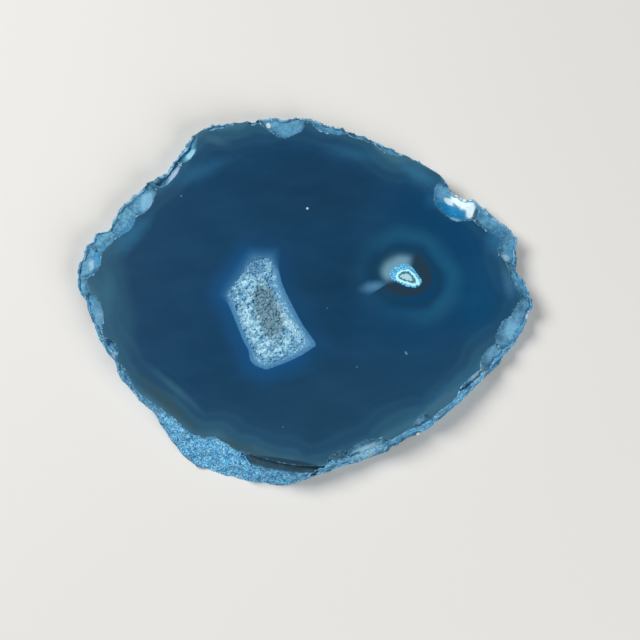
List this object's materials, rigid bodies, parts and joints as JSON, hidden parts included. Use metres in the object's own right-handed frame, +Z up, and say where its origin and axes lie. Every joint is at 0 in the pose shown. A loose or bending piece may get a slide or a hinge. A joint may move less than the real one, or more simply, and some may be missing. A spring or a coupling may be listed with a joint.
{
  "type": "polished agate slab",
  "caption": "Flat polished slice across a blue agate nodule, with rough rind, chipped rim and a shallow pocket of quartz crystals.",
  "frame": {"origin": "under the middle of the slab's box, in the plane of the sawn back that it rests on", "axes": "+X along the longest way of the slab, +Y across it, +Z up through its thickness to the polished face"},
  "size_m": [0.1114, 0.0926, 0.0065],
  "materials": {
    "agate": "polished face, rough rind",
    "quartz": "small natural crystal faces"
  },
  "bodies": {
    "root": {"agate_slab": "agate", "quartz_druse": "quartz"}
  },
  "joints": []
}
